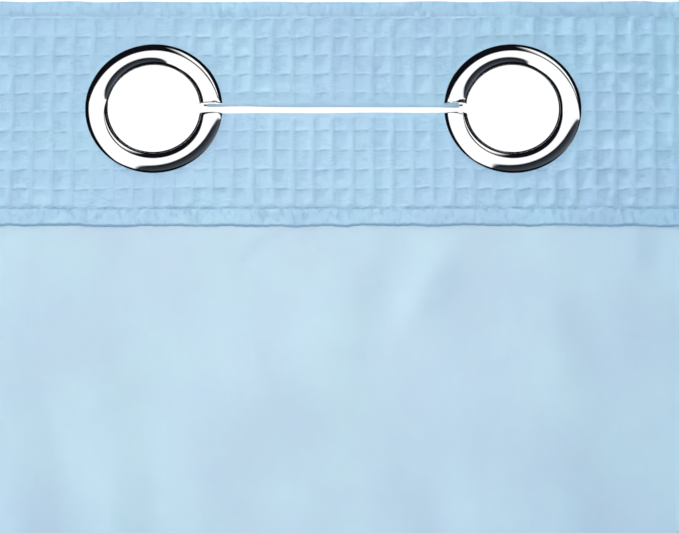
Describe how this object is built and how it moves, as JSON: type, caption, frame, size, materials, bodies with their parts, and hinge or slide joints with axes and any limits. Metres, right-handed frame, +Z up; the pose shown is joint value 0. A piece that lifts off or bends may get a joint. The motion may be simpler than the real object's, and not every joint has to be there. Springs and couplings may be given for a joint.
{
  "type": "shower curtain",
  "caption": "Shower curtain with a waffle header band and split chrome rings built in, joined in pairs by slits; it gathers along the rod in folds.",
  "frame": {"origin": "centre of the sixth split ring's bore, beside the curtain's middle, where the rod holds it", "axes": "+Z up, +X along the rod towards the twelfth ring, the curtain's front faces -Y; stored spread flat"},
  "size_m": [1.803, 0.0073, 1.88],
  "materials": {
    "chrome_front": "mirror chrome plate on moulded plastic",
    "chrome_back": "mirror chrome plate on moulded plastic",
    "waffle_cloth": "pale blue waffle weave, 8 mm cells, matt",
    "interfacing": "non-woven strip, matt",
    "smooth_cloth": "pale blue smooth cloth, soft sheen, slightly see-through"
  },
  "bodies": {
    "panel_01": {"ring_front_01": "chrome_front", "ring_back_01": "chrome_back", "header_band_01": "waffle_cloth", "header_stiffener_01": "interfacing", "curtain_cloth_01": "smooth_cloth"},
    "panel_02": {"ring_front_02": "chrome_front", "ring_back_02": "chrome_back", "header_band_02": "waffle_cloth", "header_stiffener_02": "interfacing", "curtain_cloth_02": "smooth_cloth"},
    "panel_03": {"ring_front_03": "chrome_front", "ring_back_03": "chrome_back", "header_band_03": "waffle_cloth", "header_stiffener_03": "interfacing", "curtain_cloth_03": "smooth_cloth"},
    "panel_04": {"ring_front_04": "chrome_front", "ring_back_04": "chrome_back", "header_band_04": "waffle_cloth", "header_stiffener_04": "interfacing", "curtain_cloth_04": "smooth_cloth"},
    "panel_05": {"ring_front_05": "chrome_front", "ring_back_05": "chrome_back", "header_band_05": "waffle_cloth", "header_stiffener_05": "interfacing", "curtain_cloth_05": "smooth_cloth"},
    "panel_06": {"ring_front_06": "chrome_front", "ring_back_06": "chrome_back", "header_band_06": "waffle_cloth", "header_stiffener_06": "interfacing", "curtain_cloth_06": "smooth_cloth"},
    "panel_07": {"ring_front_07": "chrome_front", "ring_back_07": "chrome_back", "header_band_07": "waffle_cloth", "header_stiffener_07": "interfacing", "curtain_cloth_07": "smooth_cloth"},
    "panel_08": {"ring_front_08": "chrome_front", "ring_back_08": "chrome_back", "header_band_08": "waffle_cloth", "header_stiffener_08": "interfacing", "curtain_cloth_08": "smooth_cloth"},
    "panel_09": {"ring_front_09": "chrome_front", "ring_back_09": "chrome_back", "header_band_09": "waffle_cloth", "header_stiffener_09": "interfacing", "curtain_cloth_09": "smooth_cloth"},
    "panel_10": {"ring_front_10": "chrome_front", "ring_back_10": "chrome_back", "header_band_10": "waffle_cloth", "header_stiffener_10": "interfacing", "curtain_cloth_10": "smooth_cloth"},
    "panel_11": {"ring_front_11": "chrome_front", "ring_back_11": "chrome_back", "header_band_11": "waffle_cloth", "header_stiffener_11": "interfacing", "curtain_cloth_11": "smooth_cloth"},
    "panel_12": {"ring_front_12": "chrome_front", "ring_back_12": "chrome_back", "header_band_12": "waffle_cloth", "header_stiffener_12": "interfacing", "curtain_cloth_12": "smooth_cloth"}
  },
  "joints": [
    {"name": "fold_01", "type": "hinge", "parent": "panel_02", "child": "panel_01", "pos_m": [-0.67612, 0, 0], "axis": [0, 0, 1], "range_deg": [0, 160]},
    {"name": "fold_02", "type": "hinge", "parent": "panel_03", "child": "panel_02", "pos_m": [-0.52587, 0, 0], "axis": [0, 0, 1], "range_deg": [-160, 0]},
    {"name": "fold_03", "type": "hinge", "parent": "panel_04", "child": "panel_03", "pos_m": [-0.37562, 0, 0], "axis": [0, 0, 1], "range_deg": [0, 160]},
    {"name": "fold_04", "type": "hinge", "parent": "panel_05", "child": "panel_04", "pos_m": [-0.22537, 0, 0], "axis": [0, 0, 1], "range_deg": [-160, 0]},
    {"name": "fold_05", "type": "hinge", "parent": "panel_06", "child": "panel_05", "pos_m": [-0.07512, 0, 0], "axis": [0, 0, 1], "range_deg": [0, 160]},
    {"name": "fold_06", "type": "hinge", "parent": "panel_06", "child": "panel_07", "pos_m": [0.07512, 0, 0], "axis": [0, 0, 1], "range_deg": [0, 160]},
    {"name": "fold_07", "type": "hinge", "parent": "panel_07", "child": "panel_08", "pos_m": [0.22537, 0, 0], "axis": [0, 0, 1], "range_deg": [-160, 0]},
    {"name": "fold_08", "type": "hinge", "parent": "panel_08", "child": "panel_09", "pos_m": [0.37562, 0, 0], "axis": [0, 0, 1], "range_deg": [0, 160]},
    {"name": "fold_09", "type": "hinge", "parent": "panel_09", "child": "panel_10", "pos_m": [0.52587, 0, 0], "axis": [0, 0, 1], "range_deg": [-160, 0]},
    {"name": "fold_10", "type": "hinge", "parent": "panel_10", "child": "panel_11", "pos_m": [0.67612, 0, 0], "axis": [0, 0, 1], "range_deg": [0, 160]},
    {"name": "fold_11", "type": "hinge", "parent": "panel_11", "child": "panel_12", "pos_m": [0.82637, 0, 0], "axis": [0, 0, 1], "range_deg": [-160, 0]}
  ],
  "couplings": [
    {"joint": "fold_01", "follows": "fold_06", "ratio": 1},
    {"joint": "fold_02", "follows": "fold_06", "ratio": -1},
    {"joint": "fold_03", "follows": "fold_06", "ratio": 1},
    {"joint": "fold_04", "follows": "fold_06", "ratio": -1},
    {"joint": "fold_05", "follows": "fold_06", "ratio": 1},
    {"joint": "fold_07", "follows": "fold_06", "ratio": -1},
    {"joint": "fold_08", "follows": "fold_06", "ratio": 1},
    {"joint": "fold_09", "follows": "fold_06", "ratio": -1},
    {"joint": "fold_10", "follows": "fold_06", "ratio": 1},
    {"joint": "fold_11", "follows": "fold_06", "ratio": -1}
  ]
}
